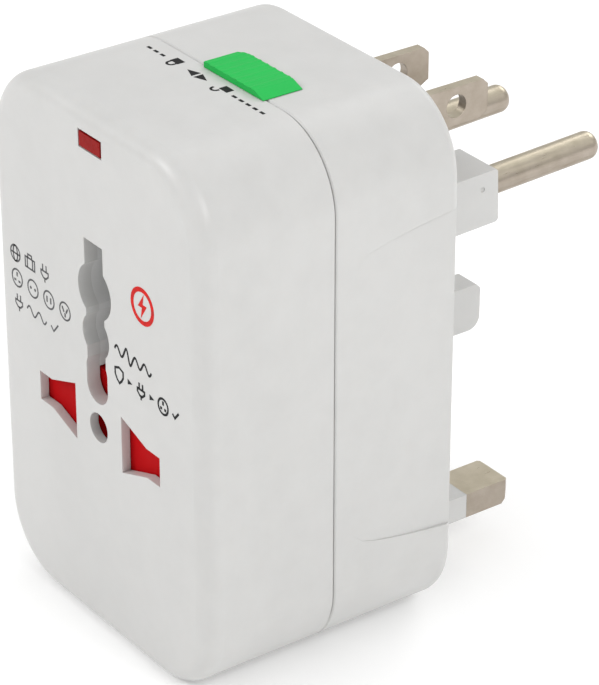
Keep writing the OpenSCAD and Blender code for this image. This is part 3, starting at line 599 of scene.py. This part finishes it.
def stroke(path, width, closed=False):
    """A line of even width along a path, as a strip of four-sided faces."""
    count = len(path)
    edges = []
    for i, (u, v) in enumerate(path):
        before = path[(i - 1) % count] if closed or i else path[0]
        after = path[(i + 1) % count] if closed or i < count - 1 else path[-1]
        into = Vector((u - before[0], v - before[1]))
        out = Vector((after[0] - u, after[1] - v))
        into = into if into.length > 1e-9 else out
        out = out if out.length > 1e-9 else into
        into.normalize()
        out.normalize()
        along = (into + out).normalized()
        side = Vector((-along.y, along.x)) * (width / 2 / max(0.5, along.dot(out)))
        edges.append(((u + side.x, v + side.y), (u - side.x, v - side.y)))
    last = count if closed else count - 1
    return [[edges[i][0], edges[i][1], edges[(i + 1) % count][1], edges[(i + 1) % count][0]]
            for i in range(last)]


def ring(u, v, r, width, steps=24):
    return stroke(arc((u, v), r, 0, 360, steps)[:-1], width, True)


def dot(u, v, r):
    return [arc((u, v), r, 0, 360, 14)[:-1]]


def bar(u, v, half_w, half_h, lean=0):
    """A filled rectangle, turned by lean degrees."""
    a = math.radians(lean)
    return [[(u + x * math.cos(a) - y * math.sin(a), v + x * math.sin(a) + y * math.cos(a))
             for x, y in ((-half_w, -half_h), (half_w, -half_h), (half_w, half_h), (-half_w, half_h))]]


def globe(u, v, r, w):
    tall = [(u + (x - u) * 0.45, y) for x, y in arc((u, v), r, 0, 360, 24)[:-1]]
    return ring(u, v, r, w) + stroke(tall, w, True) + stroke([(u - r, v), (u + r, v)], w)


def suitcase(u, v, r, w):
    box = [(u - r, v - r * 0.75), (u + r, v - r * 0.75), (u + r, v + r * 0.55), (u - r, v + r * 0.55)]
    handle = [(u - r * 0.4, v + r * 0.55), (u - r * 0.4, v + r), (u + r * 0.4, v + r),
              (u + r * 0.4, v + r * 0.55)]
    straps = [bar(u + s * r * 0.55, v - r * 0.1, w / 2, r * 0.62)[0] for s in (-1, 1)]
    return stroke(box, w, True) + stroke(handle, w) + straps


def outlet(u, v, r, w, kind):
    """A round wall socket with the holes of one kind of plug."""
    pins = {"round": dot(u - r * 0.42, v, r * 0.18) + dot(u + r * 0.42, v, r * 0.18),
            "flat": bar(u - r * 0.36, v, w * 0.6, r * 0.36) + bar(u + r * 0.36, v, w * 0.6, r * 0.36),
            "leaning": bar(u - r * 0.36, v + r * 0.15, w * 0.6, r * 0.34, 30)
            + bar(u + r * 0.36, v + r * 0.15, w * 0.6, r * 0.34, -30)
            + bar(u, v - r * 0.45, w * 0.6, r * 0.24),
            "three": bar(u, v + r * 0.42, w * 0.6, r * 0.26)
            + bar(u - r * 0.42, v - r * 0.32, r * 0.2, w * 0.6)
            + bar(u + r * 0.42, v - r * 0.32, r * 0.2, w * 0.6)}
    return ring(u, v, r, w) + pins[kind]


def plug(u, v, r, w):
    body = [(u - r * 0.7, v + r * 0.2), (u - r * 0.7, v - r * 0.2), (u - r * 0.25, v - r * 0.6),
            (u + r * 0.25, v - r * 0.6), (u + r * 0.7, v - r * 0.2), (u + r * 0.7, v + r * 0.2)]
    return (stroke(body, w, True) + bar(u - r * 0.34, v + r * 0.6, w / 2, r * 0.38)
            + bar(u + r * 0.34, v + r * 0.6, w / 2, r * 0.38) + bar(u, v - r * 0.85, w / 2, r * 0.24))


def wave(u, v, half_w, half_h, w, turns=2, spike=0.0):
    """A sine wave; a spike raises its middle crest."""
    steps = 16 * turns
    path = []
    for i in range(steps + 1):
        t = i / steps
        lift = 1 + spike * math.exp(-((t - 0.375) * 12) ** 2)
        height = half_h * math.sin(2 * math.pi * turns * t) * lift
        path.append((u - half_w + 2 * half_w * t, v + height))
    return stroke(path, w)


def shield(u, v, r, w):
    side = [(u + r * 0.8, v + r * 0.7), (u + r * 0.8, v - r * 0.05), (u + r * 0.45, v - r * 0.6)]
    mirrored = [(2 * u - x, y) for x, y in reversed(side)]
    return stroke([(u, v + r)] + side + [(u, v - r)] + mirrored, w, True)


def bolt(u, v, r):
    return [[(u + x * r, v + y * r) for x, y in
             ((0.22, 1), (-0.55, -0.12), (-0.06, -0.12), (-0.22, -1), (0.55, 0.16), (0.06, 0.16))]]


def tick(u, v, r, w):
    return stroke([(u - r, v), (u - r * 0.3, v - r * 0.7), (u + r, v + r * 0.8)], w)


def padlock(u, v, r, w, is_open):
    """A lock whose shackle points along -v, as someone reading from the wall side sees it."""
    shift, near, far = (-0.9, 0.25, 0.3) if is_open else (0, 0.1, 0.1)
    middle = u + shift * r
    shackle = [(middle + r * 0.5, v - r * near)]
    shackle += arc((middle, v - r * 0.45), r * 0.5, 360, 180, 8)
    shackle += [(middle - r * 0.5, v - r * far)]
    return bar(u, v + r * 0.42, r * 0.75, r * 0.52) + stroke(shackle, w)


def arrow(u, v, r, direction):
    reach, half_h = direction * r, r * 0.75
    return [[(u + reach, v), (u - reach, v + half_h), (u - reach, v - half_h)]]


def add_print(name, shapes, place, body, material):
    """A thin film of ink, about half of it sunk in the plastic."""
    sunk, proud = 0.01 * MM, 0.012 * MM
    made = bmesh.new()
    for shape in shapes:
        low = [made.verts.new(place(u * MM, v * MM, -sunk)) for u, v in shape]
        high = [made.verts.new(place(u * MM, v * MM, proud)) for u, v in shape]
        made.faces.new(low)
        made.faces.new(high)
        for i in range(len(shape)):
            j = (i + 1) % len(shape)
            made.faces.new((low[i], low[j], high[j], high[i]))
    bmesh.ops.recalc_face_normals(made, faces=made.faces)
    data = bpy.data.meshes.new(name)
    made.to_mesh(data)
    made.free()
    data.materials.append(material)
    obj = bpy.data.objects.new(name, data)
    bpy.context.scene.collection.objects.link(obj)
    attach(obj, body)


def on_face(u, v, lift):
    return (u, face_y - lift, v)


def on_top(u, v, lift):
    return (u, v, top_z + lift)


def add_marks():
    thin, bold, lock_line = 0.26, 0.34, 0.36
    high_row, middle_row, low_row = 11.0, 7.4, 3.8
    travel = (globe(-19.2, high_row, 1.15, thin) + suitcase(-15.6, high_row, 1.15, thin)
              + plug(-12.0, high_row, 1.25, thin))
    sockets = []
    for i, kind in enumerate(("three", "round", "flat", "leaning")):
        sockets += outlet(-19.0 + 3.9 * i, middle_row, 1.25, thin, kind)
    supply = (plug(-18.8, low_row, 1.2, thin) + wave(-14.4, low_row, 2.4, 0.6, thin)
              + tick(-10.0, low_row, 0.9, thin))
    add_print("print_left", travel + sockets + supply, on_face, "socket_unit", INKS["grey"])

    surge = wave(8.6, 7.2, 4.2, 0.6, bold, 4, 1.15)
    row = 3.6
    guard = (shield(5.3, row, 1.15, bold) + arrow(7.8, row, 0.55, 1) + plug(10.3, 3.5, 1.15, bold)
             + arrow(12.8, row, 0.55, 1) + outlet(15.3, row, 1.1, bold, "three")
             + tick(18.1, row, 0.7, bold))
    add_print("print_right", surge + guard, on_face, "socket_unit", INKS["black"])

    mark = ring(11.1, 16.0, 2.3, 0.66, 32) + bolt(11.1, 16.0, 1.85)
    add_print("print_bolt", mark, on_face, "socket_unit", INKS["red"])

    row = -22.45
    dashes = []
    for x in (-12.6, -11.1, -9.6, 6.4, 7.9, 9.4, 10.9, 12.4):
        dashes += bar(x, row, 0.45, 0.22)
    lock_row = (padlock(-6.9, row, 1.15, lock_line, False) + arrow(-3.0, row, 1.0, -1)
                + arrow(-0.6, row, 1.0, 1) + padlock(4.0, row, 1.15, lock_line, True))
    add_print("print_lock", dashes + lock_row, on_top, "socket_unit", INKS["black"])


# ---------------------------------------------------------------- studio

def add_area(name, location, size, power):
    """A soft rectangular light aimed at the part."""
    data = bpy.data.lights.new(name, "AREA")
    data.shape = "RECTANGLE"
    data.size, data.size_y = size
    data.energy = power
    obj = bpy.data.objects.new(name, data)
    bpy.context.scene.collection.objects.link(obj)
    obj.location = location
    obj.rotation_mode = "QUATERNION"
    obj.rotation_quaternion = Vector(location).to_track_quat("Z", "Y")


def add_floor():
    """A pale floor that glows a little more away from the part, so its far edge stays white."""
    data = bpy.data.meshes.new("floor")
    made = bmesh.new()
    bmesh.ops.create_circle(made, cap_ends=True, segments=96, radius=3)
    made.to_mesh(data)
    made.free()
    floor = bpy.data.objects.new("floor", data)
    floor.location = (0, 0, floor_z - 0.02 * MM)
    bpy.context.scene.collection.objects.link(floor)
    mat, nt, bsdf = new_material("floor_pale")
    patch = noise(nt, object_coords(nt), 12, 2)
    nt.links.new(blend_colors(nt, patch, (0.90, 0.90, 0.90, 1), (0.93, 0.93, 0.93, 1)),
                 bsdf.inputs["Base Color"])
    bsdf.inputs["Roughness"].default_value = 0.8
    bsdf.inputs["Specular IOR Level"].default_value = 0.1
    bsdf.inputs["Emission Color"].default_value = (1, 1, 1, 1)
    far = node(nt, "ShaderNodeVectorMath", {0: object_coords(nt)}, operation="LENGTH")
    nt.links.new(remap(nt, far.outputs["Value"], 0.2, 1.0, 0.12, 0.4),
                 bsdf.inputs["Emission Strength"])
    data.materials.append(mat)


def add_world():
    """Soft light from all round, whiter from above."""
    world = bpy.data.worlds.new("studio")
    bpy.context.scene.world = world
    world.use_nodes = True
    nt = world.node_tree
    nt.nodes.clear()
    coords = node(nt, "ShaderNodeTexCoord")
    height = node(nt, "ShaderNodeSeparateXYZ", {0: coords.outputs["Generated"]}).outputs[2]
    fac = remap(nt, height, 0.0, 0.6, 0, 1)
    tint = blend_colors(nt, fac, (0.80, 0.79, 0.77, 1), (1.0, 1.0, 1.0, 1))
    back = node(nt, "ShaderNodeBackground", {"Color": tint, "Strength": 0.775})
    out = node(nt, "ShaderNodeOutputWorld")
    nt.links.new(back.outputs[0], out.inputs[0])
    bpy.context.scene.view_settings.view_transform = "Standard"


def add_lights():
    add_area("key", (-0.55, -0.85, 0.70), (0.45, 0.45), 4.5)
    add_area("fill", (0.80, 0.05, 0.66), (0.4, 0.4), 3.35)
    add_area("back", (-0.3, 0.9, 0.7), (0.7, 0.5), 2.6)


add_camera()
add_floor()
add_world()
add_lights()
dress_frame()
for side in ("left", "right"):
    add_spring("shutter_spring_" + side)
add_screws("front_screws", "socket_unit", True)
add_screws("rear_screws", "plug_unit", False)
add_surge_parts()
add_marks()

bpy.context.view_layer.update()
